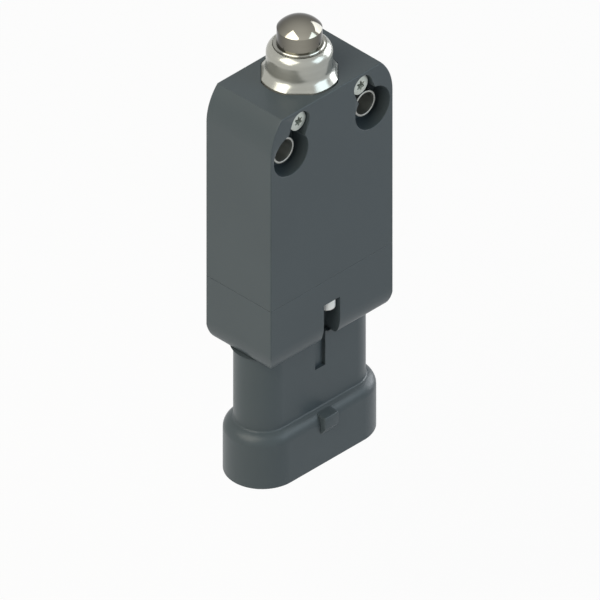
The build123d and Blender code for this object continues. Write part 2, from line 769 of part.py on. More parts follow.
# Bridges: flat strips with a contact button at each end
for name, strip_z, button_z, button_run in (
    ("nc_bridge", nc_bridge_z, nc_bridge_z + bridge_thickness, contact_height),
    ("no_bridge", lower_sill_z, lower_sill_z, -contact_height),
):
    with BuildPart() as bridge:
        with BuildSketch(Plane.XY.offset(strip_z)):
            RectangleRounded(bridge_length, bridge_width, bridge_corner)
        extrude(amount=bridge_thickness)
        with BuildSketch(Plane.XY.offset(button_z)):
            with Locations((-contact_x, 0), (contact_x, 0)):
                Circle(contact_radius)
        extrude(amount=button_run)
    finish(bridge, name)

coil_spring(
    "nc_bridge_spring",
    0,
    upper_sill_z,
    nc_bridge_z,
    contact_spring_radius,
    contact_spring_wire,
    contact_spring_turns,
)
coil_spring(
    "no_bridge_spring",
    0,
    lower_sill_z + bridge_thickness,
    lower_roof_z,
    contact_spring_radius,
    contact_spring_wire,
    contact_spring_turns,
)
coil_spring(
    "carriage_spring",
    0,
    cup_floor_z,
    carriage_end_z,
    carriage_spring_radius,
    carriage_spring_wire,
    carriage_spring_turns,
)

# Connector pins: tapered blade, shoulder on the web and a short tail
for number, pin_x in enumerate(pin_xs, start=1):
    with BuildPart() as connector_pin:
        with BuildSketch(Plane.XY.offset(pin_tip_z + pin_tip_length)):
            with Locations((pin_x, 0)):
                Rectangle(pin_width, pin_thickness)
        extrude(amount=pin_top_z - pin_tip_z - pin_tip_length)
        extrude(connector_pin.faces().sort_by(Axis.Z)[0], amount=pin_tip_length, taper=pin_taper)
        with BuildSketch(Plane.XY.offset(web_top_z)):
            with Locations((pin_x, 0)):
                Rectangle(pin_shoulder_width, pin_thickness)
        extrude(amount=pin_shoulder_height)
    finish(connector_pin, f"connector_pin_{number}")

# Leads from the contacts' legs to the pins' tails
for side, side_name in ((-1, "left"), (1, "right")):
    for kind, leg_x, pin_x in (("nc", outer_leg_x, pin_xs[-1]), ("no", inner_leg_x, pin_xs[-2])):
        with BuildPart() as lead:
            with BuildLine() as route:
                FilletPolyline(
                    (side * leg_x, 0, leg_end_z),
                    (side * leg_x, 0, leg_end_z - lead_straight),
                    (side * pin_x, 0, pin_top_z + lead_straight),
                    (side * pin_x, 0, pin_top_z),
                    radius=lead_bend,
                )
            with BuildSketch(Plane(origin=route.line @ 0, x_dir=(1, 0, 0), z_dir=(0, 0, -1))):
                Circle(lead_radius)
            sweep(path=route.line)
        finish(lead, f"{kind}_lead_{side_name}")

# Indicator: light guide in the notch, lamp above its stem, on a small board
with BuildPart() as light_guide:
    with BuildSketch(Plane.XY.offset(notch_top_z)):
        with Locations((guide_x, guide_y)):
            Circle(guide_radius)
    extrude(amount=-guide_length)
    fillet(light_guide.edges().group_by(Axis.Z)[0], guide_round)
    with BuildSketch(Plane.XY.offset(notch_top_z)):
        with Locations((guide_x, guide_y)):
            Circle(guide_stem_radius)
    extrude(amount=guide_stem_length)
finish(light_guide, "light_guide")

with BuildPart() as indicator_board:
    with BuildSketch(Plane.XY.offset(board_base_z)):
        with Locations((0, board_front_y + board_thickness / 2)):
            Rectangle(board_width, board_thickness)
    extrude(amount=board_height)
finish(indicator_board, "indicator_board")

with BuildPart() as indicator_lamp:
    lamp_front_y = pocket_front_y + led_gap
    with BuildSketch(Plane.XY.offset(pocket_floor_z)):
        with Locations((guide_x, (lamp_front_y + board_front_y) / 2)):
            Rectangle(led_width, board_front_y - lamp_front_y)
    extrude(amount=led_height)
finish(indicator_lamp, "indicator_lamp")

with BuildPart() as series_resistor:
    with BuildSketch(Plane.XZ.offset(-board_front_y - board_thickness)):
        with Locations((resistor_x, board_base_z + board_height / 2)):
            Rectangle(resistor_width, resistor_height)
    extrude(amount=-resistor_thickness)
finish(series_resistor, "series_resistor")
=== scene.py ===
import json
import math

import bmesh
import bpy
import numpy as np
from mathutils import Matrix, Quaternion, Vector


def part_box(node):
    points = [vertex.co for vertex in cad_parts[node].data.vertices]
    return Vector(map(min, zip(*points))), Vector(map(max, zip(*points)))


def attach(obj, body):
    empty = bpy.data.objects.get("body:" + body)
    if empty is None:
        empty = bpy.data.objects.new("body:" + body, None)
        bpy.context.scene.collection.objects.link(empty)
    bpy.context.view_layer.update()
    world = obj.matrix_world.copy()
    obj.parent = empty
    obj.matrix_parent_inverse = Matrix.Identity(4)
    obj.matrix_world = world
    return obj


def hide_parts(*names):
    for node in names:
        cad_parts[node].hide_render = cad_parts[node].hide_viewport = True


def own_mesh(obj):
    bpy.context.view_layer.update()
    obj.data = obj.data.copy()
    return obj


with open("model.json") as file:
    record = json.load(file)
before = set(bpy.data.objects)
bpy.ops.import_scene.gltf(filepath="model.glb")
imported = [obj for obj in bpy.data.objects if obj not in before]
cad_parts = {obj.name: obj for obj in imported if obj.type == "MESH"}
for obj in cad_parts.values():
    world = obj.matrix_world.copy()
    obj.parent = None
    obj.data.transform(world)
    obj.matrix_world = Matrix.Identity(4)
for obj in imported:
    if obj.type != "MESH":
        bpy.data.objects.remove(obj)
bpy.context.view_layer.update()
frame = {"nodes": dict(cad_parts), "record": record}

MM = 0.001
TAU = 2 * math.pi

# Camera: the photograph is a true isometric view, so the camera is orthographic
PHOTO_SIDE_PX = 600
PHOTO_PX_PER_MM = 5.76
CAMERA_TARGET = Vector((0.065, -0.065, 30.874)) * MM
CAMERA_SIGHT = Vector((1, 1, -1)).normalized()
CAMERA_DISTANCE = 0.6

# Sizes that the frame gives: boxes of the CAD nodes, in metres
housing_low, housing_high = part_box("housing")
collar_low, collar_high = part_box("plunger_collar")
plunger_low, plunger_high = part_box("plunger")
ring_low, ring_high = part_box("retaining_ring")
scraper_low, scraper_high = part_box("scraper_ring")
guide_low, guide_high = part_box("light_guide")
washer_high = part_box("seal_washer")[1]

TOP_Z = housing_high.z
SEAM_Z = housing_low.z
FRONT_Y = housing_low.y


def make_camera():
    """Orthographic camera on the isometric line of sight, framed as the photograph is."""
    data = bpy.data.cameras.new("camera")
    data.type = "ORTHO"
    data.ortho_scale = PHOTO_SIDE_PX / PHOTO_PX_PER_MM * MM
    camera = bpy.data.objects.new("camera", data)
    camera.location = CAMERA_TARGET - CAMERA_SIGHT * CAMERA_DISTANCE
    camera.rotation_euler = CAMERA_SIGHT.to_track_quat("-Z", "Y").to_euler()
    bpy.context.scene.collection.objects.link(camera)
    bpy.context.scene.camera = camera


make_camera()


# Node helpers: an input's value is a constant, or another node's output, which is then linked


def set_inputs(tree, node, values):
    """Gives each named or numbered input of a node its value."""
    for label, value in values.items():
        if isinstance(value, bpy.types.NodeSocket):
            tree.links.new(value, node.inputs[label])
        else:
            node.inputs[label].default_value = value


def add_node(tree, kind, values, **settings):
    """New node with its settings, then its inputs, because a setting can change which inputs it has."""
    node = tree.nodes.new(kind)
    for setting, value in settings.items():
        setattr(node, setting, value)
    set_inputs(tree, node, values)
    return node


def add_noise(tree, vector, scale, detail, rough):
    """Noise texture on the given vector."""
    values = {"Vector": vector, "Scale": scale, "Detail": detail, "Roughness": rough}
    return add_node(tree, "ShaderNodeTexNoise", values).outputs["Fac"]


def add_range(tree, value, before, after):
    """Maps value from the span before to the span after, clamped; a span is (low, high)."""
    values = {"From Min": before[0], "From Max": before[1], "To Min": after[0], "To Max": after[1]}
    return add_node(tree, "ShaderNodeMapRange", {"Value": value, **values}).outputs["Result"]


def add_math(tree, operation, *terms):
    """Math node on one or two terms."""
    node = add_node(tree, "ShaderNodeMath", dict(enumerate(terms)), operation=operation)
    return node.outputs["Value"]


def mix_colours(tree, factor, first, second):
    """Colour between two by a factor, where a constant colour is given as red, green and blue."""
    values = {"Factor": factor, "A": first, "B": second}
    for label in ("A", "B"):
        if isinstance(values[label], tuple):
            values[label] = (*values[label], 1)
    return add_node(tree, "ShaderNodeMix", values, data_type="RGBA").outputs["Result"]


def mix_shaders(tree, share, first, second):
    """Shader between those of two nodes, by the second one's share."""
    values = {"Fac": share, 1: first.outputs[0], 2: second.outputs[0]}
    return add_node(tree, "ShaderNodeMixShader", values)


def ray_mask(tree, *kinds):
    """1 for a ray of one of the named kinds, such as "Is Camera Ray", and 0 for any other."""
    path = tree.nodes.new("ShaderNodeLightPath")
    mask = path.outputs[kinds[0]]
    for kind in kinds[1:]:
        mask = add_math(tree, "MAXIMUM", mask, path.outputs[kind])
    return mask


def object_place(tree):
    """The piece's own coordinates, in metres."""
    return tree.nodes.new("ShaderNodeTexCoord").outputs["Object"]


def new_group(name, inputs, outputs):
    """Empty shader node group with float inputs and outputs of the given names."""
    tree = bpy.data.node_groups.new(name, "ShaderNodeTree")
    for way, labels in (("INPUT", inputs), ("OUTPUT", outputs)):
        for label in labels:
            tree.interface.new_socket(label, in_out=way, socket_type="NodeSocketFloat")
    return tree, tree.nodes.new("NodeGroupInput"), tree.nodes.new("NodeGroupOutput")


# What the finishes share: noise scales are counted per metre, and bump depths are in metres
WHOLE_SPAN = (0, 1)
TONE_SPAN = (0.35, 0.65)
SHEEN_SPAN = (0.3, 0.7)
GRAIN_SCALE = 4200
CLOUD_SCALE = 45
GRAIN_DEPTH = 0.01 * MM
GRAIN_STRENGTH = 0.1
LINE_SCALE = 9000
STREAK_SCALE = 900
LINE_STRETCH = (0.04, 0.04, 1)
LINE_DEPTH = 0.002 * MM
LINE_STRENGTH = 0.15
# Painted shade along the housing's seam: its half height, its strength and the colour it darkens to
SEAM_SHADE_HEIGHT = 0.06 * MM
SEAM_SHADE = 0.8
SEAM_PAINTED_SHADE = (0.004, 0.004, 0.004)
# Blend of the painted shade at the metals' rims
RIM_BLEND = 0.74


def build_grain_group():
    """Moulded grain: fine noise for the height, a broad soft noise for the tone, one for the sheen."""
    inputs, outputs = ("Grain Scale", "Cloud Scale"), ("Height", "Tone", "Sheen")
    tree, entry, exit_node = new_group("moulded_grain", inputs, outputs)
    place = object_place(tree)
    fine = add_noise(tree, place, entry.outputs["Grain Scale"], detail=3, rough=0.6)
    cloud = add_noise(tree, place, entry.outputs["Cloud Scale"], detail=2, rough=0.5)
    sheen = add_range(tree, fine, SHEEN_SPAN, WHOLE_SPAN)
    set_inputs(tree, exit_node, {"Height": fine, "Tone": cloud, "Sheen": sheen})
    return tree


def build_turned_group():
    """Turned metal: fine rings round the Z axis as height, streaks as tone."""
    inputs, outputs = ("Line Scale", "Streak Scale"), ("Height", "Tone")
    tree, entry, exit_node = new_group("turned_metal", inputs, outputs)
    values = {"Vector": object_place(tree), "Scale": LINE_STRETCH}
    place = add_node(tree, "ShaderNodeMapping", values).outputs["Vector"]
    lines = add_noise(tree, place, entry.outputs["Line Scale"], detail=2, rough=0.6)
    streaks = add_noise(tree, place, entry.outputs["Streak Scale"], detail=2, rough=0.5)
    set_inputs(tree, exit_node, {"Height": lines, "Tone": streaks})
    return tree


def build_seam_group():
    """Painted shade in the seam: strongest at the seam's height and gone a little above and below it.
    """
    tree, entry, exit_node = new_group("seam_shade", ("Seam Z",), ("Shade",))
    parts = add_node(tree, "ShaderNodeSeparateXYZ", {"Vector": object_place(tree)})
    offset = add_math(tree, "SUBTRACT", parts.outputs["Z"], entry.outputs["Seam Z"])
    distance = add_math(tree, "ABSOLUTE", offset)
    shade = add_range(tree, distance, (0, SEAM_SHADE_HEIGHT), (SEAM_SHADE, 0))
    set_inputs(tree, exit_node, {"Shade": shade})
    return tree


GRAIN = build_grain_group()
TURNED = build_turned_group()
SEAM = build_seam_group()
FINISHES = {}


def new_material(name):
    """Material with one Principled shader."""
    material = bpy.data.materials.new(name)
    material.use_nodes = True
    tree = material.node_tree
    return material, tree, tree.nodes["Principled BSDF"]


def add_bump(tree, height, depth, strength):
    """Normal of a bump of the given depth."""
    values = {"Height": height, "Distance": depth, "Strength": strength}
    return add_node(tree, "ShaderNodeBump", values).outputs["Normal"]


def moulded(name, dark, light, rough, sheen_swing=0.025, specular=0.5, seam=None):
    """Finish of moulded plastic or rubber: slightly clouded tone, fine grain in height and roughness.

    seam is the height of a parting line along which it paints shade into the colour.
    """
    material, tree, shader = new_material(name)
    values = {"Grain Scale": GRAIN_SCALE, "Cloud Scale": CLOUD_SCALE}
    grain = add_node(tree, "ShaderNodeGroup", values, node_tree=GRAIN).outputs
    tone = add_range(tree, grain["Tone"], TONE_SPAN, WHOLE_SPAN)
    colour = mix_colours(tree, tone, dark, light)
    # Painted shade: the colour darkens along the seam's height, standing in for shadow in the groove
    if seam is not None:
        line = add_node(tree, "ShaderNodeGroup", {"Seam Z": seam}, node_tree=SEAM)
        colour = mix_colours(tree, line.outputs["Shade"], colour, SEAM_PAINTED_SHADE)
    rough_span = (rough - sheen_swing, rough + sheen_swing)
    values = {
        "Base Color": colour,
        "Roughness": add_range(tree, grain["Sheen"], WHOLE_SPAN, rough_span),
        "Specular IOR Level": specular,
        "Normal": add_bump(tree, grain["Height"], GRAIN_DEPTH, GRAIN_STRENGTH),
    }
    set_inputs(tree, shader, values)
    FINISHES[name] = material


def metal(name, dark, light, rough, rough_swing=0.04, metallic=1, rim=None):
    """Finish of turned, drawn or stamped metal: streaked tone and roughness, fine lines in height.

    rim is the colour of painted shade towards which it darkens where the surface turns away from the
    eye.
    """
    material, tree, shader = new_material(name)
    values = {"Line Scale": LINE_SCALE, "Streak Scale": STREAK_SCALE}
    lines = add_node(tree, "ShaderNodeGroup", values, node_tree=TURNED).outputs
    tone = add_range(tree, lines["Tone"], TONE_SPAN, WHOLE_SPAN)
    colour = mix_colours(tree, tone, dark, light)
    if rim is not None:
        # Painted shade: the colour darkens where the surface turns away from the eye, standing in for a
        # darker reflection
        weight = add_node(tree, "ShaderNodeLayerWeight", {"Blend": RIM_BLEND})
        colour = mix_colours(tree, weight.outputs["Facing"], colour, rim)
    rough_span = (rough - rough_swing, rough + rough_swing)
    values = {
        "Base Color": colour,
        "Roughness": add_range(tree, tone, WHOLE_SPAN, rough_span),
        "Metallic": metallic,
        "Normal": add_bump(tree, lines["Height"], LINE_DEPTH, LINE_STRENGTH),
    }
    set_inputs(tree, shader, values)
    FINISHES[name] = material


# Finishes, named as the frame's material slots are: dark and light tone in linear colour
HOUSING_GREY = (0.063, 0.08, 0.089)
HOUSING_GREY_LIGHT = (0.066, 0.084, 0.093)
# Colour of the painted shade at the plunger's rim
STEEL_RIM_SHADE = (0.02, 0.019, 0.018)

moulded("housing_plastic", HOUSING_GREY, HOUSING_GREY_LIGHT, rough=0.37, specular=0.24, seam=SEAM_Z)
moulded("seal_rubber", (0.012, 0.012, 0.012), (0.02, 0.02, 0.02), rough=0.62)
moulded("inner_plastic", (0.02, 0.02, 0.021), (0.028, 0.028, 0.03), rough=0.5)
moulded("carriage_plastic", (0.6, 0.56, 0.45), (0.66, 0.62, 0.5), rough=0.45)
moulded("light_guide_white", (0.86, 0.86, 0.85), (0.9, 0.9, 0.89), rough=0.25, sheen_swing=0.03)
moulded("lead_cover", (0.015, 0.04, 0.2), (0.02, 0.05, 0.24), rough=0.35)
moulded("board_green", (0.01, 0.09, 0.035), (0.014, 0.11, 0.045), rough=0.3)
moulded("resistor_black", (0.01, 0.01, 0.01), (0.016, 0.016, 0.016), rough=0.35)
metal("collar_nickel", (0.355, 0.36, 0.33), (0.38, 0.386, 0.355), rough=0.2, metallic=0.55)
metal("plunger_steel", (0.32, 0.306, 0.256), (0.345, 0.33, 0.278), rough=0.1, rim=STEEL_RIM_SHADE)
metal("scraper_steel", (0.25, 0.25, 0.225), (0.28, 0.28, 0.25), rough=0.16)
metal("zinc_steel", (0.36, 0.37, 0.35), (0.42, 0.43, 0.41), rough=0.45)
metal("screw_zinc", (0.46, 0.49, 0.455), (0.52, 0.55, 0.515), rough=0.5, metallic=0.7)
metal("spring_steel", (0.3, 0.3, 0.3), (0.38, 0.38, 0.38), rough=0.25)
metal("contact_brass", (0.55, 0.36, 0.1), (0.62, 0.42, 0.13), rough=0.25)
metal("pin_tin", (0.58, 0.58, 0.55), (0.66, 0.66, 0.63), rough=0.22)


# Shape helpers; points and edges closer or shorter than these, in metres, are merged
SAME_POINT = 1e-7
NO_LENGTH = 1e-8


def round_corners(corners, closed, steps):
    """Polyline of (r, z, radius) corners with each corner replaced by an arc tangent to both sides.

    The arc starts radius / tan(half the corner's angle) before the corner, and its centre lies on the
    corner's bisector, radius / sin(half the angle) away.
    """
    points = []
    count = len(corners)
    for index, (r, z, radius) in enumerate(corners):
        here = np.array((r, z))
        if radius == 0 or (not closed and index in (0, count - 1)):
            points.append(here)
            continue
        before = np.array(corners[index - 1][:2]) - here
        after = np.array(corners[(index + 1) % count][:2]) - here
        before /= np.linalg.norm(before)
        after /= np.linalg.norm(after)
        half = math.acos(np.clip(before @ after, -1, 1)) / 2
        middle = (before + after) / np.linalg.norm(before + after)
        centre = here + middle * radius / math.sin(half)
        start = here + before * radius / math.tan(half) - centre
        end = here + after * radius / math.tan(half) - centre
        first = math.atan2(start[1], start[0])
        turn = (math.atan2(end[1], end[0]) - first + math.pi) % TAU - math.pi
        angles = first + turn * np.linspace(0, 1, steps + 1)
        points.extend(centre + radius * np.column_stack((np.cos(angles), np.sin(angles))))
    return np.array(points)


def arc_points(centre_r, centre_z, radius, start_degrees, turn_degrees, steps):
    """Points on a circular arc in the (r, z) plane."""
    angles = np.radians(start_degrees + turn_degrees * np.linspace(0, 1, steps + 1))
    return np.column_stack((centre_r + radius * np.cos(angles), centre_z + radius * np.sin(angles)))


def middle_of(low, high):
    """Centre of a box as x, y and z."""
    return [(first + last) / 2 for first, last in zip(low, high)]


def turned_grid(profile, segments, radius_at=None):
    """Surface of revolution about Z: point (r, z) of the profile goes to (r cos a, r sin a, z).

    radius_at(r, a) may give another radius for each point and angle.
    """
    angles = np.linspace(0, TAU, segments, endpoint=False)
    radii = profile[:, :1] * np.ones((1, segments))
    if radius_at is not None:
        radii = radius_at(radii, angles[None, :])
    heights = profile[:, 1:] * np.ones((1, segments))
    return np.stack((radii * np.cos(angles), radii * np.sin(angles), heights), axis=-1)


def lay_along_y(grid, low, high):
    """Turns a grid made about Z so that its +Z points to -Y, and moves its axis to a box's middle."""
    x, _, z = middle_of(low, high)
    return np.stack((grid[..., 0] + x, -grid[..., 2], grid[..., 1] + z), axis=-1)


def clean_mesh(mesh):
    """Merges points that lie on one another and turns all faces outwards."""
    work = bmesh.new()
    work.from_mesh(mesh)
    bmesh.ops.remove_doubles(work, verts=work.verts, dist=SAME_POINT)
    bmesh.ops.dissolve_degenerate(work, edges=work.edges, dist=NO_LENGTH)
    bmesh.ops.recalc_face_normals(work, faces=work.faces)
    work.to_mesh(mesh)
    work.free()


def grid_piece(name, grid, slot, replaced=None, close_rows=False, body="switch_body", sharp_degrees=30):
    """Piece made of quads over a (rows, columns, 3) grid whose columns close on themselves.

    Rows that shrink to a point are merged, so poles are closed. Edges sharper than sharp_degrees stay
    sharp, and the rest is shaded smooth. The piece has its slot's finish, rides on its body and hides
    the CAD node that it replaces.
    """
    rows, columns = grid.shape[:2]
    index = np.arange(rows * columns).reshape(rows, columns)
    if close_rows:
        index = np.vstack((index, index[:1]))
    index = np.hstack((index, index[:, :1]))
    quads = np.stack((index[:-1, :-1], index[:-1, 1:], index[1:, 1:], index[1:, :-1]), axis=-1)
    mesh = bpy.data.meshes.new(name)
    mesh.from_pydata(grid.reshape(-1, 3).tolist(), [], quads.reshape(-1, 4).tolist())
    clean_mesh(mesh)
    mesh.shade_smooth()
    mesh.set_sharp_from_angle(angle=math.radians(sharp_degrees))
    mesh.materials.append(FINISHES[slot])
    piece = bpy.data.objects.new(name, mesh)
    bpy.context.scene.collection.objects.link(piece)
    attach(piece, body)
    if replaced is not None:
        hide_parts(replaced)


# Plunger: domed pin with a ring groove and the push rod's socket
PLUNGER_SEGMENTS = 192
PLUNGER_RADIUS = (plunger_high.x - plunger_low.x) / 2
DOME_HEIGHT = 1.95 * MM
DOME_STEPS = 28
DOME_EDGE = 0.08 * MM
DOME_EDGE_DROP = DOME_EDGE / 3
DOME_EDGE_STEPS = 6
DOME_EDGE_CLEAR = 0.02 * MM
GROOVE_DEPTH = 0.5 * MM
GROOVE_RADIUS = PLUNGER_RADIUS - GROOVE_DEPTH
SOCKET_RADIUS = 2.0 * MM
SOCKET_DEPTH = 4.0 * MM


def build_plunger():
    """Dome as a sphere's cap of the plunger's width, then the shaft with its groove, turned about Z."""
    sphere = (PLUNGER_RADIUS**2 + DOME_HEIGHT**2) / (2 * DOME_HEIGHT)
    spread = math.degrees(math.asin(PLUNGER_RADIUS / sphere))
    dome = arc_points(0, plunger_high.z - sphere, sphere, 90, -spread, DOME_STEPS)
    edge_r = PLUNGER_RADIUS - DOME_EDGE
    edge_z = plunger_high.z - DOME_HEIGHT - DOME_EDGE_DROP
    edge_turn = math.degrees(math.acos(PLUNGER_RADIUS / sphere))
    edge = arc_points(edge_r, edge_z, DOME_EDGE, edge_turn, -edge_turn, DOME_EDGE_STEPS)
    dome = dome[dome[:, 0] < edge[0, 0] - DOME_EDGE_CLEAR]
    shaft = [
        (PLUNGER_RADIUS, ring_high.z),
        (GROOVE_RADIUS, ring_high.z),
        (GROOVE_RADIUS, ring_low.z),
        (PLUNGER_RADIUS, ring_low.z),
        (PLUNGER_RADIUS, plunger_low.z),
        (SOCKET_RADIUS, plunger_low.z),
        (SOCKET_RADIUS, plunger_low.z + SOCKET_DEPTH),
        (0, plunger_low.z + SOCKET_DEPTH),
    ]
    grid = turned_grid(np.vstack((dome, edge, shaft)), PLUNGER_SEGMENTS)
    grid_piece("plunger_pin", grid, "plunger_steel", "plunger", body="plunger_set")


# Collar: turned barrel that flares onto a round foot with four flats
COLLAR_SEGMENTS = 384
COLLAR_SHARP_DEGREES = 24
COLLAR_FOOT = (collar_high.x - collar_low.x) / 2
COLLAR_FLATS = 13.24 * MM
COLLAR_BARREL = 5.88 * MM
COLLAR_SHOULDER = 2.2 * MM
COLLAR_SHOULDER_STEPS = 24
COLLAR_FLARE_RISE = 1.38 * MM
COLLAR_FLARE_ROUND = 1.4 * MM
COLLAR_FLARE_STEPS = 8
COLLAR_FLARE_ROWS = 8
COLLAR_FOOT_PROUD = 0.25 * MM
COLLAR_FOOT_HEIGHT = 5.6 * MM
COLLAR_FOOT_Z = TOP_Z + COLLAR_FOOT_PROUD
COLLAR_BASE_Z = COLLAR_FOOT_Z - COLLAR_FOOT_HEIGHT
COLLAR_SHANK = 5.6 * MM
MOUTH_RADIUS = 4.7 * MM
MOUTH_LIP = 0.12 * MM
MOUTH_LIP_Z = collar_high.z - MOUTH_LIP * 1.3
MOUTH_LIP_DEGREES = 105
MOUTH_LIP_STEPS = 6
MOUTH_LIP_GAP_DEGREES = 3
BORE_RADIUS = 4.06 * MM
SEAL_RADIUS = 4.9 * MM
SEAL_HEIGHT = 2.4 * MM
SEAL_TOP_Z = washer_high.z + SEAL_HEIGHT
CORNER_SHARPNESS = 240


def towards_flats(radii, angles):
    """What stands out from the barrel is drawn in, so that the cone ends on the foot's outline.

    The outline is the smaller of the foot's radius and flat = half the width / cos(angle from the
    flat's middle), as radius / (1 + (radius / flat)^n)^(1/n), which nears the smaller as n grows.
    """
    from_flat = angles % (TAU / 4) - TAU / 8
    flats = COLLAR_FLATS / 2 / np.cos(from_flat)
    outline = COLLAR_FOOT / (1 + (COLLAR_FOOT / flats) ** CORNER_SHARPNESS) ** (1 / CORNER_SHARPNESS)
    share = (outline - COLLAR_BARREL) / (COLLAR_FOOT - COLLAR_BARREL)
    return np.where(radii > COLLAR_BARREL, COLLAR_BARREL + (radii - COLLAR_BARREL) * share, radii)


def build_collar():
    """Profile from the mouth over the shoulder, barrel, cone, foot and shank, and back up the bore.

    The shoulder is an arc that would pass through the mouth's edge at the collar's top. It starts a few
    degrees after that edge, which leaves room for the lip's own round.
    """
    lip_r = MOUTH_RADIUS + MOUTH_LIP
    mouth = arc_points(lip_r, MOUTH_LIP_Z, MOUTH_LIP, 180, -MOUTH_LIP_DEGREES, MOUTH_LIP_STEPS)
    shoulder_r = COLLAR_BARREL - COLLAR_SHOULDER
    lip_rise = math.sqrt(COLLAR_SHOULDER**2 - (MOUTH_RADIUS - shoulder_r) ** 2)
    shoulder_z = collar_high.z - lip_rise
    turn = math.degrees(math.atan2(lip_rise, MOUTH_RADIUS - shoulder_r)) - MOUTH_LIP_GAP_DEGREES
    shoulder = arc_points(shoulder_r, shoulder_z, COLLAR_SHOULDER, turn, -turn, COLLAR_SHOULDER_STEPS)
    bend = [
        (*shoulder[-1], 0),
        (COLLAR_BARREL, COLLAR_FOOT_Z + COLLAR_FLARE_RISE, COLLAR_FLARE_ROUND),
        (COLLAR_FOOT, COLLAR_FOOT_Z, 0),
    ]
    bend = round_corners(bend, False, COLLAR_FLARE_STEPS)[1:-1]
    shares = np.linspace(0, 1, COLLAR_FLARE_ROWS)[1:, None]
    cone = bend[-1] + (np.array((COLLAR_FOOT, COLLAR_FOOT_Z)) - bend[-1]) * shares
    lower = [
        (COLLAR_FOOT, COLLAR_BASE_Z),
        (COLLAR_SHANK, COLLAR_BASE_Z),
        (COLLAR_SHANK, collar_low.z),
        (SEAL_RADIUS, collar_low.z),
        (SEAL_RADIUS, SEAL_TOP_Z),
        (BORE_RADIUS, SEAL_TOP_Z),
        (BORE_RADIUS, scraper_low.z),
        (MOUTH_RADIUS, scraper_low.z),
    ]
    profile = np.vstack((mouth, shoulder, bend, cone, lower))
    grid = turned_grid(profile, COLLAR_SEGMENTS, towards_flats)
    slot, node = "collar_nickel", "plunger_collar"
    grid_piece("collar_body", grid, slot, node, close_rows=True, sharp_degrees=COLLAR_SHARP_DEGREES)


# Scraper ring: nearly flat top that rises a little to the lip round the plunger
SCRAPER_LIP = 0.2 * MM
SCRAPER_RAMP_FOOT = BORE_RADIUS + 0.42 * MM
SCRAPER_RAMP_TOP = BORE_RADIUS + 0.28 * MM
SCRAPER_PLAY = 0.012 * MM
SCRAPER_OUTER_ROUND = 0.02 * MM
SCRAPER_FOOT_ROUND = 0.05 * MM
SCRAPER_TOP_ROUND = 0.06 * MM
SCRAPER_INNER_ROUND = 0.03 * MM
SCRAPER_STEPS = 4


def build_scraper():
    """Ring in the collar's mouth: closed profile of land, ramp and lip, turned about Z."""
    outer = (scraper_high.x - scraper_low.x) / 2
    inner = PLUNGER_RADIUS + SCRAPER_PLAY
    land_z = scraper_high.z - SCRAPER_LIP
    corners = [
        (BORE_RADIUS, scraper_low.z, 0),
        (outer, scraper_low.z, 0),
        (outer, land_z, SCRAPER_OUTER_ROUND),
        (SCRAPER_RAMP_FOOT, land_z, SCRAPER_FOOT_ROUND),
        (SCRAPER_RAMP_TOP, scraper_high.z, SCRAPER_TOP_ROUND),
        (inner, scraper_high.z, SCRAPER_INNER_ROUND),
        (inner, land_z, 0),
    ]
    grid = turned_grid(round_corners(corners, True, SCRAPER_STEPS), PLUNGER_SEGMENTS)
    grid_piece("scraper_lip", grid, "scraper_steel", "scraper_ring", close_rows=True)


# Mounting sleeves: they lie along Y, as the cross screws do
SLEEVE_SEGMENTS = 96
SLEEVE_OUTER = 2.55 * MM
SLEEVE_BORE = 2.15 * MM
SLEEVE_ROUND = 0.1 * MM
SLEEVE_STEPS = 5


def build_sleeve(side_name):
    """Tube with rounded ends: a closed rectangular profile turned about the hole's axis."""
    node = f"mounting_sleeve_{side_name}"
    low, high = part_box(node)
    corners = [
        (SLEEVE_BORE, -high.y, SLEEVE_ROUND),
        (SLEEVE_OUTER, -high.y, SLEEVE_ROUND),
        (SLEEVE_OUTER, -low.y, SLEEVE_ROUND),
        (SLEEVE_BORE, -low.y, SLEEVE_ROUND),
    ]
    grid = turned_grid(round_corners(corners, True, SLEEVE_STEPS), SLEEVE_SEGMENTS)
    grid = lay_along_y(grid, low, high)
    grid_piece(f"sleeve_tube_{side_name}", grid, "zinc_steel", node, close_rows=True)


# Cross screws: domed heads with six-lobe sockets
SCREW_SEGMENTS = 144
SCREW_SHANK = 1.5 * MM
SCREW_HEAD_HEIGHT = 1.45 * MM
SCREW_DOME = 0.22 * MM
SCREW_DOME_RINGS = 14
SCREW_RIM = 0.12 * MM
SCREW_RIM_RINGS = 5
SOCKET_LOBES = 6
LOBE_MIDDLE = 0.78 * MM
LOBE_SWING = 0.2 * MM
LOBE_DEPTH = 2.0 * MM
LOBE_CENTRE_DEPTH = LOBE_DEPTH * 1.1
LOBE_WALL_DEPTH = LOBE_DEPTH * 0.9
LOBE_FLOOR_SHARE = 0.93
LOBE_EDGE_DROP = 0.03 * MM
LOBE_EDGE_WIDTH = 0.02 * MM


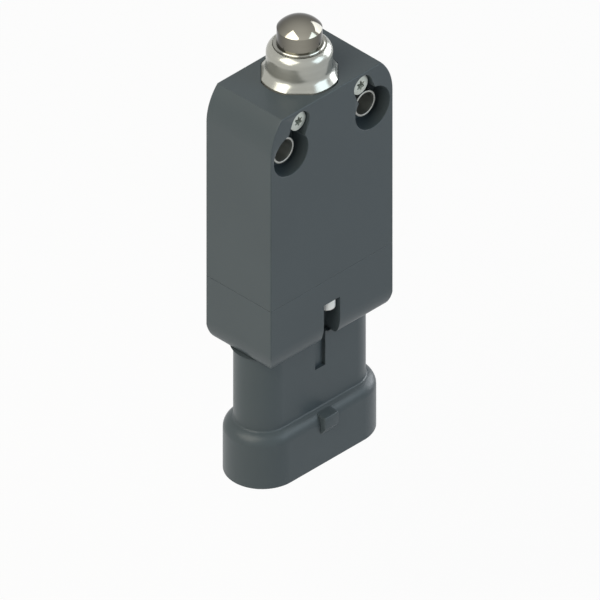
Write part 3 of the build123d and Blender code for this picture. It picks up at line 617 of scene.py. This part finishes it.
def build_screw(side_name):
    """Domed head with a socket in it, as rings of points about the screw's axis.

    The socket's rings follow a six-lobe outline, r = middle - swing cos(6 a), and those of the dome go
    from it in even steps to the rim's circle.
    """
    node = f"cross_screw_{side_name}"
    low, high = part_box(node)
    head = (high.x - low.x) / 2
    face = -low.y
    seat = face - SCREW_HEAD_HEIGHT
    sphere = (head**2 + SCREW_DOME**2) / (2 * SCREW_DOME)
    angles = np.linspace(0, TAU, SCREW_SEGMENTS, endpoint=False)
    lobes = LOBE_MIDDLE - LOBE_SWING * np.cos(SOCKET_LOBES * angles)

    def ring(radii, heights):
        """Closed row of points at the given radius and height for each angle."""
        return np.stack((radii * np.cos(angles), radii * np.sin(angles), heights + 0 * angles), axis=-1)

    def dome(radii):
        """Height of the sphere that caps the head: its centre's height + sqrt(sphere^2 - r^2)."""
        return face - sphere + np.sqrt(sphere**2 - radii**2)

    socket = [
        ring(0, face - LOBE_CENTRE_DEPTH),
        ring(lobes * LOBE_FLOOR_SHARE, face - LOBE_DEPTH),
        ring(lobes, face - LOBE_WALL_DEPTH),
        ring(lobes, dome(lobes) - LOBE_EDGE_DROP),
    ]
    top = []
    for share in np.linspace(0, 1, SCREW_DOME_RINGS):
        radii = lobes + LOBE_EDGE_WIDTH + (head - SCREW_RIM - lobes - LOBE_EDGE_WIDTH) * share
        top.append(ring(radii, dome(radii)))
    rim = []
    for turn in TAU / 4 * np.linspace(1 / SCREW_RIM_RINGS, 1, SCREW_RIM_RINGS):
        radius = head - SCREW_RIM + SCREW_RIM * math.sin(turn)
        rim.append(ring(radius, dome(head - SCREW_RIM) - SCREW_RIM * (1 - math.cos(turn))))
    shank = [ring(head, seat), ring(SCREW_SHANK, seat), ring(SCREW_SHANK, -high.y), ring(0, -high.y)]
    grid = lay_along_y(np.array(socket + top + rim + shank), low, high)
    grid_piece(f"screw_{side_name}", grid, "screw_zinc", node)


# Lock: nose of the latch on the skirt, with a ramp below and a flat catch on top
LOCK_HALF_WIDTH = 1.67 * MM
LOCK_RAMP_Z = 6.45 * MM
LOCK_NOSE_Z = 7.95 * MM
LOCK_CATCH_Z = 10.37 * MM
LOCK_BEHIND_FRONT = 0.02 * MM
LOCK_FRONT_Y = FRONT_Y + LOCK_BEHIND_FRONT
LOCK_SKIRT_Y = -6.88 * MM
LOCK_CATCH_DEPTH = 0.4 * MM
LOCK_CATCH_Y = LOCK_SKIRT_Y - LOCK_CATCH_DEPTH
LOCK_ROOT_Y = -5.7 * MM
LOCK_ROOT_RISE = 0.22 * MM
LOCK_ROOT_Z = LOCK_CATCH_Z + LOCK_ROOT_RISE
LOCK_ROUND = 0.22 * MM
LOCK_STEPS = 5
LOCK_END_ROWS = 5


def build_lock():
    """Side outline (y, z) drawn along X and, at its ends, drawn in along a quarter circle."""
    corners = [
        (LOCK_ROOT_Y, LOCK_RAMP_Z, 0),
        (LOCK_SKIRT_Y, LOCK_RAMP_Z, 0),
        (LOCK_FRONT_Y, LOCK_NOSE_Z, LOCK_ROUND),
        (LOCK_FRONT_Y, LOCK_CATCH_Z, LOCK_ROUND),
        (LOCK_CATCH_Y, LOCK_CATCH_Z, 0),
        (LOCK_ROOT_Y, LOCK_ROOT_Z, 0),
    ]
    outline = round_corners(corners, True, LOCK_STEPS)
    middle = np.array((LOCK_SKIRT_Y, (LOCK_NOSE_Z + LOCK_CATCH_Z) / 2))
    turns = np.linspace(TAU / 4, 0, LOCK_END_ROWS)
    places = LOCK_ROUND * (1 - np.sin(turns)) - LOCK_HALF_WIDTH
    shares = 1 - LOCK_ROUND * (1 - np.cos(turns)) / (LOCK_SKIRT_Y - LOCK_FRONT_Y)
    places = np.concatenate((places[:1], places, -places[::-1], -places[:1]))
    shares = np.concatenate(((0,), shares, shares[::-1], (0,)))
    flat = middle + (outline - middle) * shares[:, None, None]
    across = np.broadcast_to(places[:, None, None], (*flat.shape[:2], 1))
    grid_piece("lock_nose", np.concatenate((across, flat), axis=-1), "housing_plastic")


# Light guide: white nose under the notch's ceiling on a thinner stem
GUIDE_SEGMENTS = 96
GUIDE_STEM = 0.9 * MM
GUIDE_NOSE_LENGTH = 2.0 * MM
GUIDE_CONE = 0.04 * MM
GUIDE_ROUND = 0.3 * MM
GUIDE_SHOULDER_ROUND = 0.05 * MM
GUIDE_STEPS = 6


def build_light_guide():
    """Nose with a rounded rim and a slightly coned end, and its stem, turned about their own axis."""
    radius = (guide_high.x - guide_low.x) / 2
    shoulder_z = guide_low.z + GUIDE_NOSE_LENGTH
    corners = [
        (0, guide_low.z, 0),
        (radius, guide_low.z + GUIDE_CONE, GUIDE_ROUND),
        (radius, shoulder_z, GUIDE_SHOULDER_ROUND),
        (GUIDE_STEM, shoulder_z, 0),
        (GUIDE_STEM, guide_high.z, 0),
        (0, guide_high.z, 0),
    ]
    grid = turned_grid(round_corners(corners, False, GUIDE_STEPS), GUIDE_SEGMENTS)
    x, y, _ = middle_of(guide_low, guide_high)
    grid_piece("light_guide_nose", grid + np.array((x, y, 0)), "light_guide_white", "light_guide")


# CAD nodes that stay: their loose triangles are merged and shaded smooth where they curve
MERGE_DISTANCE = 0.001 * MM
SMOOTH_DEGREES = 28


def build_shading_group():
    """Geometry nodes: merge by distance, then shade smooth except across the sharper edges."""
    tree = bpy.data.node_groups.new("smooth_by_angle", "GeometryNodeTree")
    for way in ("INPUT", "OUTPUT"):
        tree.interface.new_socket("Geometry", in_out=way, socket_type="NodeSocketGeometry")
    entry = tree.nodes.new("NodeGroupInput")
    values = {"Geometry": entry.outputs["Geometry"], "Distance": MERGE_DISTANCE}
    merged = add_node(tree, "GeometryNodeMergeByDistance", values).outputs["Geometry"]
    faces = add_node(tree, "GeometryNodeSetShadeSmooth", {"Geometry": merged}, domain="FACE")
    angle = tree.nodes.new("GeometryNodeInputMeshEdgeAngle").outputs["Unsigned Angle"]
    values = {"A": angle, "B": math.radians(SMOOTH_DEGREES)}
    below = add_node(tree, "FunctionNodeCompare", values, operation="LESS_THAN").outputs["Result"]
    values = {"Geometry": faces.outputs["Geometry"], "Shade Smooth": below}
    edges = add_node(tree, "GeometryNodeSetShadeSmooth", values, domain="EDGE")
    add_node(tree, "NodeGroupOutput", {"Geometry": edges.outputs["Geometry"]})
    return tree


def dress_cad_nodes():
    """Gives every CAD node its finish, smooth curves and face-weighted normals."""
    smooth_by_angle = build_shading_group()
    slots = {entry["node"]: entry["material_slot"] for entry in frame["record"]["subparts"]}
    for name, node in frame["nodes"].items():
        node.data.materials.clear()
        node.data.materials.append(FINISHES[slots[name]])
        node.modifiers.new("smooth", "NODES").node_group = smooth_by_angle
        node.modifiers.new("weigh", "WEIGHTED_NORMAL").keep_sharp = True


def shorten_spring(node):
    """Gives the spring's CAD node its own copy of its mesh."""
    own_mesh(frame["nodes"][node])


# Studio: white floor and surroundings, four soft boxes; lengths are in metres
FLOOR_HALF = 3.0
FLOOR_Z = -0.04
FLOOR_GREY = (0.78, 0.78, 0.78, 1)
FLOOR_ROUGHNESS = 0.9
FLOOR_GLOW = 0.93
SURROUND_GREY = (0.1, 0.1, 0.1)
SURROUND_WHITE = (1, 1, 1)
LAMP_DISTANCE = 1.0
LEFT_WAY = (-0.75, 0.0, 0.66)
FRONT_WAY = (0.405, -0.794, 0.454)
RIGHT_WAY = (0.95, -0.16, 0.2)
BACK_WAY = (0.6, 0.8, 0.05)
WARM_WHITE = (1.0, 0.95, 0.84)
COOL_WHITE = (0.76, 0.9, 1.0)
CLEAR_WHITE = (0.94, 0.97, 1.0)
PALE_WHITE = (0.95, 0.98, 1.0)


def make_floor():
    """Pale plane below the hanging part: white with a faint shadow, and clear when seen from below."""
    signs = ((-1, -1), (1, -1), (1, 1), (-1, 1))
    corners = [(x * FLOOR_HALF, y * FLOOR_HALF, FLOOR_Z) for x, y in signs]
    mesh = bpy.data.meshes.new("floor")
    mesh.from_pydata(corners, [], [(0, 1, 2, 3)])
    floor = bpy.data.objects.new("floor", mesh)
    bpy.context.scene.collection.objects.link(floor)
    material, tree, shader = new_material("floor_white")
    set_inputs(tree, shader, {"Base Color": FLOOR_GREY, "Roughness": FLOOR_ROUGHNESS})
    glow = add_node(tree, "ShaderNodeEmission", {"Strength": 1})
    seen = ray_mask(tree, "Is Camera Ray", "Is Glossy Ray")
    above = mix_shaders(tree, add_math(tree, "MULTIPLY", seen, FLOOR_GLOW), shader, glow)
    below = tree.nodes.new("ShaderNodeBsdfTransparent")
    side = tree.nodes.new("ShaderNodeNewGeometry").outputs["Backfacing"]
    both = mix_shaders(tree, side, above, below)
    set_inputs(tree, tree.nodes["Material Output"], {"Surface": both.outputs[0]})
    mesh.materials.append(material)


def make_world():
    """Soft even light; camera, glossy and transmission rays see plain white."""
    world = bpy.data.worlds.new("studio")
    bpy.context.scene.world = world
    world.use_nodes = True
    tree = world.node_tree
    seen = ray_mask(tree, "Is Camera Ray", "Is Glossy Ray", "Is Transmission Ray")
    colour = mix_colours(tree, seen, SURROUND_GREY, SURROUND_WHITE)
    set_inputs(tree, tree.nodes["Background"], {"Color": colour})


def make_soft_box(name, direction, size, roll, watts, colour):
    """Rectangular lamp out along a direction, facing the part and rolled about it by some degrees."""
    data = bpy.data.lights.new(name, "AREA")
    data.shape = "RECTANGLE"
    data.size, data.size_y = size
    data.energy = watts
    data.color = colour
    lamp = bpy.data.objects.new(name, data)
    towards = Vector(direction).normalized()
    lamp.location = Vector((0, 0, TOP_Z)) + towards * LAMP_DISTANCE
    turn = Quaternion((0, 0, 1), math.radians(roll))
    lamp.rotation_euler = (towards.to_track_quat("Z", "Y") @ turn).to_euler()
    bpy.context.scene.collection.objects.link(lamp)
    return lamp


def make_lamps():
    """Lamps on the left and in front, one on the right for the gloss alone, one behind for the back."""
    make_soft_box("left_box", LEFT_WAY, size=(0.84, 0.84), roll=-20, watts=10.4, colour=WARM_WHITE)
    make_soft_box("front_box", FRONT_WAY, size=(0.58, 0.58), roll=13, watts=3.8, colour=COOL_WHITE)
    right = make_soft_box("right_box", RIGHT_WAY, size=(0.7, 0.8), roll=0, watts=11, colour=CLEAR_WHITE)
    right.visible_diffuse = False
    back = make_soft_box("back_box", BACK_WAY, size=(0.6, 0.6), roll=0, watts=5, colour=PALE_WHITE)
    back.visible_glossy = False


build_plunger()
build_collar()
build_scraper()
for side in ("left", "right"):
    build_sleeve(side)
    build_screw(side)
build_lock()
build_light_guide()
dress_cad_nodes()
shorten_spring("return_spring")
shorten_spring("carriage_spring")
make_floor()
make_world()
make_lamps()

bpy.context.scene.view_settings.view_transform = "Standard"
